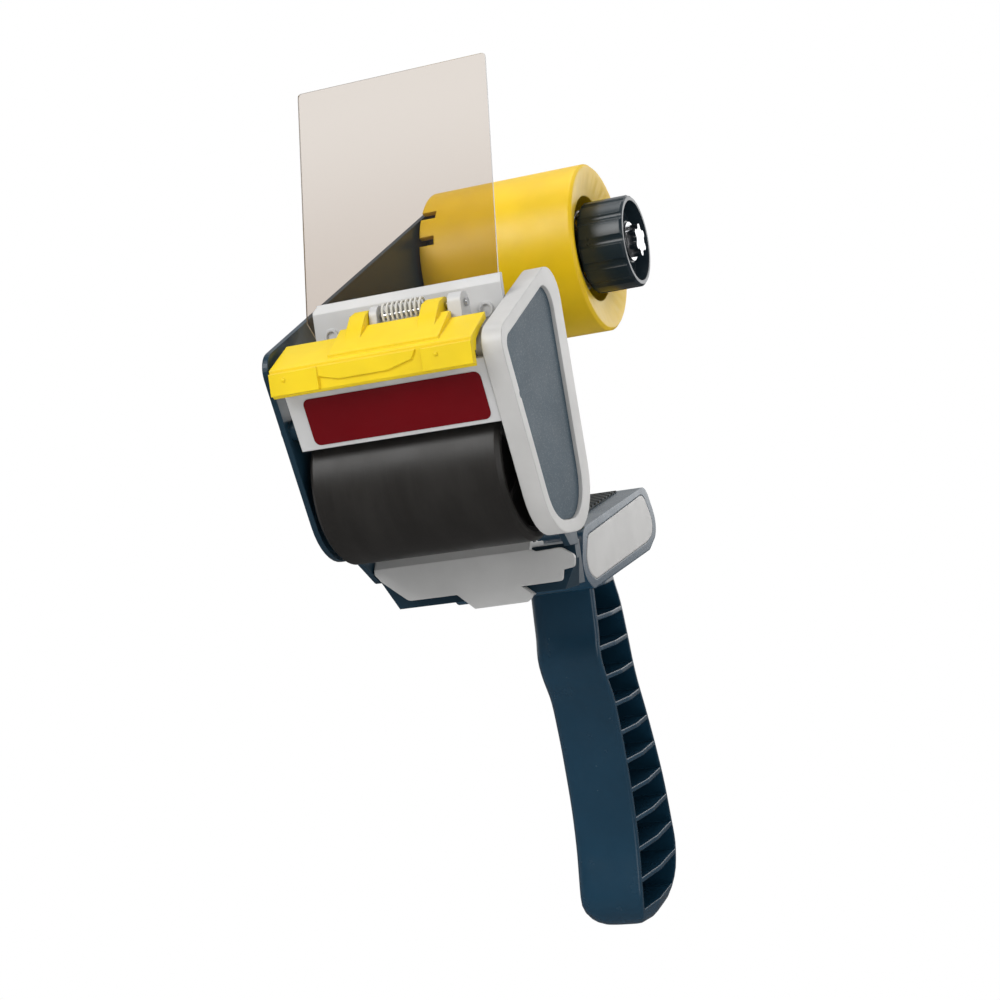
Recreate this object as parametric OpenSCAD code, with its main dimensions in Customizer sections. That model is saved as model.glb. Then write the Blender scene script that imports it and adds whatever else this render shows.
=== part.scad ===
// Hand-held packing-tape dispenser: side frame with a tape hub, roller head with a
// sprung blade guard, smoothing plate, clear shield and a ribbed pistol grip.
// X runs along the roller and hub axes to the open side, Y to the back, Z up.
// Head sizes are measured from the roller axis; the origin is the centre of the grip.

/* [Tape] */
// Bore of the cardboard core that the hub carries
core_bore = 76.2; // [76:0.1:77]
// Clear space between the two head plates
head_gap = 86; // [82:0.5:96]

/* [Side frame] */
// Thickness of the side frame's plate
plate_t = 2.4; // [2:0.1:4]
// Lean of the plates' front edge from upright, in degrees
front_lean = 21; // [19:0.5:23]
// Distance of the plates' front edge before the roller axis, at axis height
front_y = 26.4; // [25:0.2:28]
// Depth of the plates below the roller axis
plate_drop = 28.5; // [27:0.5:30]
// Floor tray: front face behind the roller axis
tray_y = 30; // [29.5:0.5:33]
// Floor tray: length front to back
tray_len = 36; // [32:1:40]
// Floor tray: top face below the roller axis
tray_top = 33.5; // [33:0.5:35]
// Floor tray: height
tray_h = 18; // [17:0.5:20]
// Wall of the floor tray
tray_wall = 2.5; // [2:0.1:3.5]

/* [Right frame] */
// Thickness of the open side's frame
right_t = 8; // [7:0.5:10]
// Depth of the panel recess in the frame
recess = 3; // [2.5:0.1:4]
// Thickness of the textured panel in the recess
panel_t = 1.6; // [1:0.1:2]
// Rim around the panel at the top, front and bottom
rim_w = 5; // [4:0.5:7]
// Rim around the panel at the back
rim_back = 10; // [8:0.5:12]

/* [Roller] */
// Outer diameter of the rubber roller
roller_d = 60.8; // [60:0.2:61.2]
// Length of the roller
roller_len = 78.4; // [74:0.2:79]
// Rubber thickness on the roller
rubber_t = 3.4; // [2.5:0.1:5]
// Wall of the roller core
core_wall = 2.2; // [1.8:0.1:3]
// Diameter of the roller axle
axle_d = 8; // [6:0.5:10]

/* [Head front] */
// Thickness of the front plate
front_t = 2.4; // [2:0.1:3]
// Height of the front plate's lower edge above the roller axis
front_low_z = 15.5; // [15:0.5:18]
// Height of the front plate's upper edge above the roller axis
front_high_z = 39; // [38:0.5:40]
// Left and right inset of the front plate from the side plates
front_inset = 3.6; // [2:0.2:6]
// Width of the label
label_w = 72.6; // [60:0.2:73]
// Height of the label
label_h = 18.8; // [16:0.2:19.5]
// Height of the blade strip
blade_h = 20; // [17:0.5:20.5]
// Thickness of the blade strip
blade_t = 0.8; // [0.6:0.1:1.2]
// Number of teeth on the blade
teeth = 38; // [28:1:44]
// Height of the blade's teeth
tooth_h = 1.8; // [1:0.1:2.5]

/* [Bridge] */
// Front face of the bridge wall behind the roller axis
bridge_y = -12; // [-13:0.5:-10]
// Height of the bridge top above the roller axis
bridge_top = 72; // [70:0.5:74]
// Height of the bridge's shelf above the roller axis
shelf_z = 51; // [50.5:0.5:52]
// Wall of the bridge
bridge_wall = 2.5; // [2:0.1:3]

/* [Blade guard] */
// Distance of the guard's pivot before the roller axis
pivot_y = 22.5; // [22:0.5:24]
// Height of the guard's pivot above the roller axis
pivot_z = 62; // [61:0.5:63]
// Diameter of the guard's pivot pin
pivot_d = 3; // [2.5:0.25:4]
// Wall of the guard
guard_wall = 2.2; // [1.8:0.1:2.6]
// Length of the guard along the roller
guard_len = 82.4; // [76:0.2:84]
// Wire of the guard's spring
guard_wire = 1; // [0.8:0.1:1.4]
// Coils in the guard's spring
guard_coils = 9; // [6:1:12]

/* [Shield] */
// Width of the clear shield
shield_w = 81.5; // [74:0.5:84]
// Length of the clear shield above its fold
shield_len = 96; // [70:1:110]
// Thickness of the clear shield
shield_t = 1; // [0.8:0.1:1.5]
// Backward lean of the shield in degrees
shield_lean = 13; // [10:0.5:16]

/* [Hub] */
// Distance of the hub axis behind the roller axis
hub_y = 154.5; // [150:0.5:170]
// Height of the hub axis above the roller axis
hub_z = 94; // [88:0.5:100]
// Length of the hub drum
hub_len = 72.6; // [66:0.2:78]
// Wall of the hub drum
hub_wall = 2.6; // [2:0.1:3.5]
// Radius of the round recess in the hub's open end
mouth_r = 24; // [23:0.5:26]
// Diameter of the hub bolt
bolt_d = 8; // [6:0.5:8]
// Outer diameter of the bearing sleeve on the bolt
sleeve_d = 13; // [12:0.5:15]

/* [Brake knob] */
// Outer diameter of the brake knob
knob_d = 41.5; // [36:0.5:42]
// Length of the brake knob
knob_len = 21; // [18:0.5:23]
// Number of flutes round the knob
flutes = 12; // [8:1:16]
// Reach of the knob's end past the hub's rim
knob_reach = 17.3; // [14:0.1:19]
// Lobes on the nut
lobes = 6; // [5:1:8]

/* [Grip] */
// Width of the grip
grip_w = 31; // [29:0.5:36]
// Wall of the grip
grip_wall = 3; // [2.5:0.1:4]
// Thickness of each rib in the open side
rib_t = 2; // [1.6:0.1:2.6]
// Number of pockets between the ribs
pockets = 11; // [9:1:12]
// Width of the block that joins the grip to the tray
block_w = 62; // [56:1:66]
// Depth of the panel inset in the block's end
inset_t = 1.5; // [1:0.1:2]
// Thumb rest: width
thumb_w = 40; // [34:1:46]
// Thumb rest: number of grooves
thumb_grooves = 12; // [8:1:14]

/* [Smoothing plate] */
// Thickness of the smoothing plate
wiper_t = 1.8; // [1.4:0.1:2.2]
// Front face of the smoothing plate behind the roller axis
wiper_y = 24; // [23:0.5:25]

/* [Hardware] */
// Diameter of the small screws' heads
screw_head_d = 6; // [5:0.5:7]
// Diameter of the small screws' shanks
screw_d = 3; // [2.5:0.25:3.5]

/* [Hidden] */
$fn = 96;

navy = [0.11, 0.17, 0.22];
slate = [0.29, 0.34, 0.37];
light_grey = [0.76, 0.76, 0.75];
white = [0.82, 0.82, 0.80];
yellow = [0.97, 0.81, 0.08];
black = [0.15, 0.14, 0.13];
red = [0.44, 0.06, 0.07];
clear = [0.85, 0.83, 0.80, 0.4];
steel = [0.72, 0.73, 0.74];

fit = 0.2;          // gap between parts that sit side by side
run_fit = 0.05;     // radial clearance of a running fit
turn_gap = 0.4;     // gap beside a part that turns
half = head_gap / 2;
grip_y = 150;
grip_z = -138;
lean_t = tan(front_lean);
roller_r = roller_d / 2;
axle_r = axle_d / 2;
hub_r = core_bore / 2 - 0.1;
hub_x = -half + 1.8;
hub_end = hub_x + hub_len;
bolt_r = bolt_d / 2;
sleeve_r = sleeve_d / 2;
web_x = hub_end - 25;          // inner web that the brake disc bears on
web_t = 3;
disc_t = 1.6;
knob_end = hub_end + knob_reach;
knob_x = knob_end - knob_len;
side_top = [69.2, 0.38];       // side frame's top edge: height over the roller axis, rise
cheek_top = [67.5, 0.45];      // right frame's top edge, in the same form
cheek_back = 35;               // right frame's back edge behind the roller axis
cheek_back_lean = 0.07;        // its forward lean, as a slope

// Moves head measurements to the origin at the grip's centre.
module placed() { translate([0, -grip_y, -grip_z]) children(); }

// Extrudes an outline drawn as [Y, Z] along X.
module slab(x, t) {
    translate([x, 0, 0]) rotate([90, 0, 90]) linear_extrude(t) children();
}

// Round bar along X.
module bar(x, length, r, y = 0, z = 0) {
    translate([x, y, z]) rotate([0, 90, 0]) cylinder(h = length, r = r);
}

// Turns a profile drawn as [radius, X] about the X direction at [y, z].
module turned(y = 0, z = 0) {
    translate([0, y, z]) rotate([0, 90, 0]) rotate_extrude() children();
}

// Arc that rounds the corner b, between the directions u and w, with the radius r.
function corner_arc(b, u, w, r, steps) = let(
    half_angle = acos(max(-1, min(1, u * w))) / 2,
    centre = b + (u + w) / norm(u + w) * r / sin(half_angle),
    v1 = b + u * r / tan(half_angle) - centre,
    v2 = b + w * r / tan(half_angle) - centre,
    a1 = atan2(v1[1], v1[0]),
    turn = (atan2(v2[1], v2[0]) - a1 + 540) % 360 - 180)
    [for (k = [0 : steps]) centre + r * [cos(a1 + turn * k / steps), sin(a1 + turn * k / steps)]];

// Points of a closed outline whose corners are given as [y, z, radius].
function rounded(pts, steps = 8) = let(n = len(pts)) [for (i = [0 : n - 1]) let(
    b = [pts[i][0], pts[i][1]],
    prev = pts[(i + n - 1) % n], next = pts[(i + 1) % n],
    u = [prev[0], prev[1]] - b, w = [next[0], next[1]] - b)
    each pts[i][2] > 0 ? corner_arc(b, u / norm(u), w / norm(w), pts[i][2], steps) : [b]];

// Front edge of the head plates at the height z.
function front_at(z) = -front_y - lean_t * z;

// Corner [y, z] where the front edge, moved back by m, meets the line z = a + s * y.
function front_meets(a, s, m = 0) = let(z = (a + s * (m - front_y)) / (1 + s * lean_t))
    [front_at(z) + m, z];

// Corner [y, z] where the right frame's back edge, moved in by m, meets z = a + s * y.
function back_meets(a, s, m = 0) = let(
    z = (a + s * (cheek_back - m)) / (1 + s * cheek_back_lean))
    [cheek_back - m - cheek_back_lean * z, z];

// Moves to the head's leaning front: Z runs up the front edge, Y into the head.
module leaned() { translate([0, -front_y, 0]) rotate([front_lean, 0, 0]) children(); }

// Point on a helix along X at the angle a, and its direction there.
function coil_point(r, x0, length, coils, a) = [x0 + length * a / (360 * coils), r * cos(a), r * sin(a)];
function coil_way(r, length, coils, a) = let(t = [length / (2 * PI * coils), -r * sin(a), r * cos(a)])
    t / norm(t);

// Helix of wire along X with straight tails, as one swept mesh.
module coil(r, wire, x0, length, coils, start = 0, tails = [0, 0], sides = 8, per_turn = 16) {
    steps = coils * per_turn;
    turns = [for (i = [0 : steps]) coil_point(r, x0, length, coils, 360 * i / per_turn)];
    first = turns[0] - coil_way(r, length, coils, 0) * tails[0];
    last = turns[steps] + coil_way(r, length, coils, 360 * coils) * tails[1];
    path = tails[0] > 0 ? concat([first], turns, [last]) : turns;
    n = len(path);
    points = [for (i = [0 : n - 1]) let(
        t = path[min(i + 1, n - 1)] - path[max(i - 1, 0)],
        side = cross(t, [1, 0, 0]) / norm(cross(t, [1, 0, 0])),
        up = cross(side, t) / norm(cross(side, t)))
        for (k = [0 : sides - 1]) let(a = 360 * k / sides)
            path[i] + wire / 2 * (cos(a) * side + sin(a) * up)];
    faces = concat(
        [[for (k = [0 : sides - 1]) k]],
        [for (i = [0 : n - 2]) for (k = [0 : sides - 1]) let(m = (k + 1) % sides)
            [i * sides + k, (i + 1) * sides + k, (i + 1) * sides + m, i * sides + m]],
        [[for (k = [sides - 1 : -1 : 0]) (n - 1) * sides + k]]);
    rotate([start, 0, 0]) polyhedron(points, faces);
}

// ---- Side frame ----

axle_boss_r = 9;
axle_boss_t = 2.6;
hub_disc_r = 31.5;
tray_bottom = -tray_top - tray_h;
tray_end = tray_y + tray_len;
tray_x = half - 0.4;
tray_chamfer = [6.5, 11.5];
side_slope = atan(side_top[1]);
lower_slope = 44;
arm_foot = [tray_end + 8, -tray_top + 6];

lug_face = half - turn_gap - plate_t + 0.2;     // inner face of the lug

// Cross-section of the tray in [x, z], pulled in by m.
function tray_outline(m, bottom) = [
    [-tray_x + m, -tray_top - m], [tray_x - m, -tray_top - m],
    [tray_x - m, tray_bottom + tray_chamfer[1] + m / 3],
    [tray_x - tray_chamfer[0] - m, bottom], [-tray_x + tray_chamfer[0] + m, bottom],
    [-tray_x + m, tray_bottom + tray_chamfer[1] + m / 3]];

// Extrudes an outline drawn as [X, Z] along Y.
module facing(y, t) {
    translate([0, y + t, 0]) rotate([90, 0, 0]) linear_extrude(t) children();
}

// Plan of the tray, pulled in by m: the open side tapers to the width of the grip's block.
module tray_plan(m) {
    x = block_half + 1.2 - m;
    translate([0, 0, tray_bottom - 2]) linear_extrude(tray_h + 3) polygon([
        [-half - 1, tray_y - 1], [tray_x - m, tray_y - 1], [tray_x - m, tray_y + 3],
        [x + 3, tray_y + 19], [x, tray_y + 28], [x, tray_end + 2], [-half - 1, tray_end + 2]]);
}

module side_plate_outline() {
    top = front_meets(side_top[0], side_top[1]);
    polygon(rounded([
        [top[0], top[1], 8],
        [hub_y - hub_disc_r * sin(side_slope), hub_z + hub_disc_r * cos(side_slope), 0],
        [hub_y + hub_disc_r * sin(lower_slope), hub_z - hub_disc_r * cos(lower_slope), 0],
        [arm_foot[0], arm_foot[1], 14],
        [tray_end, tray_bottom + tray_chamfer[1], 3],
        [tray_y, tray_bottom + tray_chamfer[1], 4],
        [12, -plate_drop, 12],
        [front_at(-plate_drop), -plate_drop, 24]]));
    translate([hub_y, hub_z]) circle(r = hub_disc_r);
}

// Lug beside the roller's open end that the right frame is screwed to.
module tray_lug() {
    slab(lug_face, plate_t) difference() {
        polygon(rounded([[8, -5, 3], [22, -5, 6], [tray_y + 4, -tray_top + 4, 0],
            [tray_y + 4, -tray_top - 1, 0], [24, -tray_top - 1, 0], [8, -19, 4]]));
        translate(lug_screw) circle(r = screw_d / 2 + fit);
    }
}

module side_frame() {
    color(navy) placed() difference() {
        union() {
            slab(-half - plate_t, plate_t) side_plate_outline();
            bar(-half, axle_boss_t, axle_boss_r);
            bar(-half, 1.2, hub_r - 12, hub_y, hub_z);
            slab(-half, 2.2) polygon(rounded([[14, 66, 3], [42, 78.5, 4], [102, 84.5, 4],
                [102, 60, 3], [40, 40, 4], [14, 46, 3]]));
            difference() {
                intersection() {
                    facing(tray_y, tray_len) polygon(tray_outline(0, tray_bottom));
                    tray_plan(0);
                }
                intersection() {
                    facing(tray_y + tray_wall, tray_len)
                        polygon(tray_outline(tray_wall, tray_bottom - 1));
                    tray_plan(tray_wall);
                }
            }
            bar(-half, front_inset - fit, tube_r, lower_tube[0], lower_tube[1]);
            bar(-half, bridge_inset - fit, tube_r, upper_tube[0], upper_tube[1]);
            facing(tray_y, tray_len) polygon([[-half - 0.1, -tray_top],
                [-tray_x + 0.1, -tray_top], [-tray_x + 0.1, tray_bottom + tray_chamfer[1]],
                [-half - 0.1, tray_bottom + tray_chamfer[1]]]);
            tray_lug();
        }
        bar(-half - plate_t - 1, plate_t + axle_boss_t + 2, axle_r + run_fit);
        bar(-half - plate_t - 1, plate_t + 4, bolt_r + run_fit, hub_y, hub_z);
        for (p = left_screws)
            bar(-half - plate_t - 1, plate_t + bridge_inset + 2, screw_d / 2 + fit, p[0], p[1]);
        for (x = tray_screw_x)
            translate([x, tray_screw_y, -tray_top - tray_wall - 1]) cylinder(h = tray_wall + 2, r = screw_d / 2 + fit);
        for (x = rivet_x)
            translate([x, rivet_y, -tray_top - tray_wall - 1]) cylinder(h = tray_wall + 2, r = rivet_r);
    }
}

// ---- Right frame and its panel ----

cheek_t = right_t;
lug_screw = [15, -12];
upper_tube = [-18, 44.6];
lower_tube = [-29.6, 24.5];
tube_r = 4;
left_screws = [upper_tube, lower_tube];
right_screws = [upper_tube, lower_tube, lug_screw];
rim_front = rim_w / cos(front_lean);
rim_top = rim_w / cos(atan(cheek_top[1]));
screw_head_t = 1.6;

// Outline of the right frame, or of the panel inside its rim when m is 1.
module cheek_outline(m) {
    gap = m > 1 ? fit : 0;
    in = m > 0 ? 1 : 0;
    top = [cheek_top[0] - in * (rim_top + gap), cheek_top[1]];
    front_back = in * (rim_front + gap);
    bottom = -plate_drop - 0.5 + in * (rim_w + gap);
    front_top = front_meets(top[0], top[1], front_back);
    back_top = back_meets(top[0], top[1], in * (rim_back + gap));
    back_low = back_meets(bottom, 0, in * (rim_back + gap));
    polygon(rounded([
        [front_top[0], front_top[1], in > 0 ? 5 : 9],
        [back_top[0], back_top[1], in > 0 ? 9 : 13],
        [back_low[0], back_low[1], in > 0 ? 17 : 24],
        [front_at(bottom) + front_back, bottom, in > 0 ? 17 : 25]]));
}

module right_frame() {
    color(light_grey) placed() difference() {
        union() {
            slab(half, cheek_t) cheek_outline(0);
            bar(half - axle_boss_t, axle_boss_t + 1, axle_boss_r);
        }
        slab(half + cheek_t - recess, recess + 1) cheek_outline(1);
        bar(half - axle_boss_t - 1, axle_boss_t + 5, axle_r + run_fit);
        for (p = right_screws) {
            bar(half - 1, cheek_t + 1, screw_d / 2 + fit, p[0], p[1]);
            bar(half + cheek_t - recess - screw_head_t - 0.2, recess + 1, screw_head_d / 2 + fit, p[0], p[1]);
        }
    }
}

module right_panel() {
    color(slate) placed()
        slab(half + cheek_t - recess, panel_t) cheek_outline(2);
}

// Pan-head screws that hold the head together, with their shanks in the tubes.
module frame_screws() {
    seat = half + cheek_t - recess - screw_head_t;
    color(steel) placed() {
        for (p = right_screws) {
            bar(seat, screw_head_t, screw_head_d / 2, p[0], p[1]);
            shank = p == lug_screw ? seat - lug_face + 0.3 : 14;
            bar(seat - shank, shank, screw_d / 2, p[0], p[1]);
        }
        for (p = left_screws) {
            bar(-half - plate_t - screw_head_t, screw_head_t, screw_head_d / 2, p[0], p[1]);
            bar(-half - plate_t, 16, screw_d / 2, p[0], p[1]);
        }
    }
}

// ---- Roller ----

bush_r = 7;
bush_len = 9;
flange_t = 0.8;

module roller_rubber() {
    r = roller_r;
    l = roller_len / 2;
    color(black) placed() turned() polygon([
        [r - rubber_t, -l], [r - 1.6, -l], [r, -l + 1.6], [r, l - 1.6], [r - 1.6, l], [r - rubber_t, l]]);
}

module roller_core() {
    r = roller_r - rubber_t;
    l = roller_len / 2;
    web = 3;
    color(light_grey) placed() difference() {
        union() {
            turned() polygon([[r - core_wall, -l + 1], [r, -l + 1], [r, l - 1], [r - core_wall, l - 1]]);
            for (s = [-1, 1]) {
                x = s > 0 ? l - 3 - web : -l + 3;
                bar(x, web, r - 0.5);
                bar(s > 0 ? l - bush_len : -l, bush_len, bush_r + 2.5);
                for (a = [0 : 60 : 300]) rotate([a, 0, 0])
                    translate([s > 0 ? l - bush_len : -l + 1, 0, bush_r + 1])
                        translate([0, -1, 0]) cube([bush_len - 1, 2, r - bush_r - 2]);
            }
        }
        bar(-l - 1, roller_len + 2, bush_r);
    }
}

module roller_bushes() {
    l = roller_len / 2;
    color(white) placed() for (s = [-1, 1]) mirror([s > 0 ? 0 : 1, 0, 0]) turned() polygon([
        [axle_r + run_fit, l - bush_len], [bush_r, l - bush_len], [bush_r, l],
        [bush_r + 1.5, l], [bush_r + 1.5, l + flange_t], [axle_r + run_fit, l + flange_t]]);
}

module roller_axle() {
    color(steel) placed() {
        bar(-half - plate_t - 0.1, head_gap + plate_t + 3.2, axle_r);
        turned() polygon([[0, -half - plate_t - 1.8], [5.5, -half - plate_t - 1.8],
            [7, -half - plate_t - 0.8], [7, -half - plate_t], [0, -half - plate_t]]);
    }
}

// ---- Front plate, label and blade ----

plate_face = 0.6;
front_x0 = -half + front_inset;
front_x1 = half - fit;
blade_y = plate_face + front_t;
stake_x = [-28, 28];
stake_l = 33;
stake_r = 1.5;

module front_plate() {
    low = front_low_z / cos(front_lean);
    high = front_high_z / cos(front_lean);
    color(white) placed() {
        difference() {
            union() {
                leaned() translate([front_x0, plate_face, low]) cube([front_x1 - front_x0, front_t, high - low]);
                leaned() translate([front_x0, plate_face, low]) cube([front_x1 - front_x0, front_t + 1.2, 2]);
                bar(front_x0, front_x1 - front_x0, tube_r, lower_tube[0], lower_tube[1]);
            }
            bar(-half - 1, 17, screw_d / 2, lower_tube[0], lower_tube[1]);
            bar(half - 11, 12, screw_d / 2, lower_tube[0], lower_tube[1]);
        }
        leaned() for (x = stake_x) translate([x, blade_y - 0.2, stake_l])
            rotate([-90, 0, 0]) cylinder(h = blade_t + 0.2, r = stake_r);
    }
}

module label() {
    mid_x = (front_x0 + front_x1) / 2 + 1.6;
    low = front_low_z / cos(front_lean) + 1.6;
    color(red) placed() leaned()
        translate([mid_x, plate_face, low]) rotate([90, 0, 0]) linear_extrude(0.2)
            polygon(rounded([[-label_w / 2, 0, 2.6], [label_w / 2, 0, 2.6],
                [label_w / 2, label_h, 2.6], [-label_w / 2, label_h, 2.6]]));
}

module blade() {
    tip = 48.8;
    w = front_x1 - front_x0 - 7;
    pitch = w / teeth;
    mid_x = (front_x0 + front_x1) / 2;
    color(steel) placed() leaned() difference() {
        translate([mid_x, blade_y + blade_t, tip - blade_h]) rotate([90, 0, 0]) linear_extrude(blade_t)
            polygon(concat([[w / 2, 0], [w / 2, blade_h - tooth_h]],
                [for (i = [0 : teeth - 1]) each [
                    [w / 2 - (i + 0.5) * pitch, blade_h],
                    [w / 2 - (i + 1) * pitch, blade_h - tooth_h]]],
                [[-w / 2, 0]]));
        for (x = stake_x) translate([x, blade_y - 1, stake_l])
            rotate([-90, 0, 0]) cylinder(h = blade_t + 2, r = stake_r + 0.1);
    }
}

// ---- Bridge ----

bridge_inset = 6.5;
bridge_x0 = -half + bridge_inset;
bridge_x1 = half - fit;
wall_back = bridge_y + bridge_wall;
pivot = [-pivot_y, pivot_z];
pin_r = pivot_d / 2;
eye_r = 3.4;
lug_r = 4.4;
lug_x = [[-6.3, 3.2], [26, 5.5]];
stud_x = [-29.5, 35.5];
stud_z = 59;
shield_fold = 66;
skirt = [28.6, 46];             // reach of the skirt up the leaning front

// Point [y, z] at d into the head and l up the leaning front.
function on_front(d, l) = [-front_y + d * cos(front_lean) - l * sin(front_lean),
    d * sin(front_lean) + l * cos(front_lean)];

module bridge_section() {
    d0 = blade_y + blade_t;
    d1 = d0 + bridge_wall;
    polygon([on_front(d0, skirt[0]), on_front(d1, skirt[0]), on_front(d1, skirt[1] - 2.5),
        [-30, shelf_z - bridge_wall], [wall_back, shelf_z - bridge_wall],
        [wall_back, bridge_top], [wall_back - 1.2, bridge_top], [bridge_y, bridge_top - 3.6],
        [bridge_y, shelf_z], [-31, shelf_z], on_front(d0, skirt[1])]);
}

module bridge() {
    color(white) placed() difference() {
        union() {
            slab(bridge_x0, bridge_x1 - bridge_x0) bridge_section();
            bar(bridge_x0, bridge_x1 - bridge_x0, tube_r, upper_tube[0], upper_tube[1]);
            for (l = lug_x) {
                bar(l[0], l[1], lug_r, pivot[0], pivot[1]);
                slab(l[0], l[1]) polygon([[pivot[0] - 5.5, shelf_z - 1], [pivot[0] + 5.5, shelf_z - 1],
                    [pivot[0] + lug_r, pivot[1]], [pivot[0] - lug_r, pivot[1]]]);
            }
            for (x = [bridge_x0 + 1, bridge_x1 - 3])
                slab(x, 1.8) polygon([[bridge_y + 0.2, shelf_z - 0.5], [bridge_y - 5, shelf_z - 0.5],
                    [bridge_y + 0.2, shelf_z + 6]]);
            for (x = stud_x) translate([x, bridge_y - 0.9, stud_z]) rotate([-90, 0, 0]) difference() {
                cylinder(h = 1.1, r = 3);
                translate([0, 0, -0.1]) cylinder(h = 1, r = 1.9);
            }
            for (x = stud_x) translate([x, wall_back - 0.2, stud_z]) rotate([-90, 0, 0])
                cylinder(h = shield_t + 2.4, r = 1.6);
        }
        for (l = lug_x) bar(l[0] - 1, l[1] + 2, pin_r + 0.02, pivot[0], pivot[1]);
        bar(-half - 1, 17, screw_d / 2, upper_tube[0], upper_tube[1]);
        bar(half - 11, 12, screw_d / 2, upper_tube[0], upper_tube[1]);
        translate([bridge_x0 - 1, bridge_y - 1, bridge_top - 3.4]) rotate([0, -45, 0]) cube([4, 6, 8]);
    }
}

// ---- Clear shield ----

module shield() {
    low = stud_z - 6;
    y0 = wall_back;
    top_z = shield_fold + shield_len * cos(shield_lean);
    back = shield_len * sin(shield_lean);
    side = shield_w / 2;
    color(clear) placed() difference() {
        intersection() {
            slab(-side, shield_w) polygon([[y0, low], [y0 + shield_t, low],
                [y0 + shield_t, shield_fold], [y0 + shield_t + back, top_z],
                [y0 + back, top_z], [y0, shield_fold]]);
            facing(y0 - 1, back + 4) polygon(rounded([
                [bridge_x0 + 1.5, low, 0], [bridge_x1 - 2.5, low, 0], [side, shield_fold, 1],
                [side, top_z, 1.5], [-side, top_z, 1.5], [-side, shield_fold, 1]], 4));
        }
        for (x = stud_x) translate([x, y0 - 1, stud_z]) rotate([-90, 0, 0])
            cylinder(h = shield_t + 2, r = 1.7);
    }
}

// Push-on washers that hold the shield on the bridge's studs.
module shield_clips() {
    color(steel) placed() for (x = stud_x)
        translate([x, wall_back + shield_t, stud_z]) rotate([-90, 0, 0]) difference() {
            cylinder(h = 0.6, r = 4);
            translate([0, 0, -1]) cylinder(h = 3, r = 1.6);
        }
}

// ---- Blade guard, its pin and spring ----

guard_front = -46.6;
guard_low = 36.3;
guard_brow = 47;
hood_back = [-29, 56.6];
arm_x = [[-13.3, 6.6], [16.6, 7.2]];
step_x = [-17.5, 45];           // raised middle of the hood: start and length
coil_r = 4.7;

module hood_section() {
    w = guard_wall;
    polygon([[guard_front, guard_low + 1], [guard_front + 1, guard_low],
        [guard_front + w, guard_low], [guard_front + w, guard_brow - 1.2],
        [hood_back[0] + 0.4, hood_back[1] - w * 1.15], hood_back, [guard_front, guard_brow]]);
}

module blade_guard() {
    l = guard_len / 2;
    color(yellow) placed() difference() {
        union() {
            slab(-l, guard_len) hood_section();
            for (x = [-l, l - 1.4]) slab(x, 1.4) polygon([[guard_front + 1, 42],
                [guard_front + 3.4, 42], [guard_front + 5, 46.2], [-33.4, 52], hood_back,
                [guard_front + 1, guard_brow]]);
            for (x = [-l, l - 20]) translate([x, guard_front - 1.2, guard_low + 0.8])
                cube([20, 1.4, guard_brow - guard_low - 2.2]);
            for (a = arm_x) {
                bar(a[0], a[1], eye_r, pivot[0], pivot[1]);
                slab(a[0], a[1]) polygon([[-40, 50.4], [-34, 58], [-29, 63.4],
                    [pivot[0] - 1, pivot[1] + eye_r - 0.1], [pivot[0] + 2.4, pivot[1] - 2.4],
                    [pivot[0] - 1.5, pivot[1] - eye_r + 0.2], [-27.5, shelf_z + fit],
                    [-30.4, shelf_z + fit], [-31.6, 53.6]]);
            }
            slab(step_x[0], step_x[1]) polygon([[guard_front + 2.6, guard_brow + 1.2],
                [guard_front + 2.4, guard_brow + 2.4], [-29.6, 59.2], [-27.9, 58.8],
                [hood_back[0] + 0.4, hood_back[1] - 2]]);
            facing(guard_front - 0.7, 0.9) polygon(rounded([[-25, guard_brow - 1.2, 0],
                [19, guard_brow - 1.2, 0], [17, guard_brow - 4.5, 2], [7, guard_low + 3.6, 8],
                [-13, guard_low + 3.6, 8], [-23, guard_brow - 4.5, 2]]));
            for (x = [-l + 6, l - 14]) translate([x, guard_front - 1.2, guard_low + 6.4])
                sphere(r = 0.8, $fn = 24);
        }
        for (a = arm_x) bar(a[0] - 1, a[1] + 2, pin_r + run_fit, pivot[0], pivot[1]);
    }
}

module guard_pin() {
    x0 = arm_x[0][0] - 1.2;
    x1 = lug_x[1][0] + lug_x[1][1] + 1.2;
    color(steel) placed() {
        bar(x0, x1 - x0, pin_r, pivot[0], pivot[1]);
        bar(x0 - 1, 1, pin_r + 1, pivot[0], pivot[1]);
    }
}

module guard_spring() {
    x0 = lug_x[0][0] + lug_x[0][1] + 1.2;
    length = arm_x[1][0] - x0 - 1.2;
    color(steel) placed() translate([0, pivot[0], pivot[1]])
        coil(coil_r, guard_wire, x0, length, guard_coils, start = -90, tails = [5.5, 10.3]);
}

// ---- Smoothing plate ----

rivet_r = 1.5;
rivet_x = [-30, 0, 22];
rivet_y = tray_y + 6.5;

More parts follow.
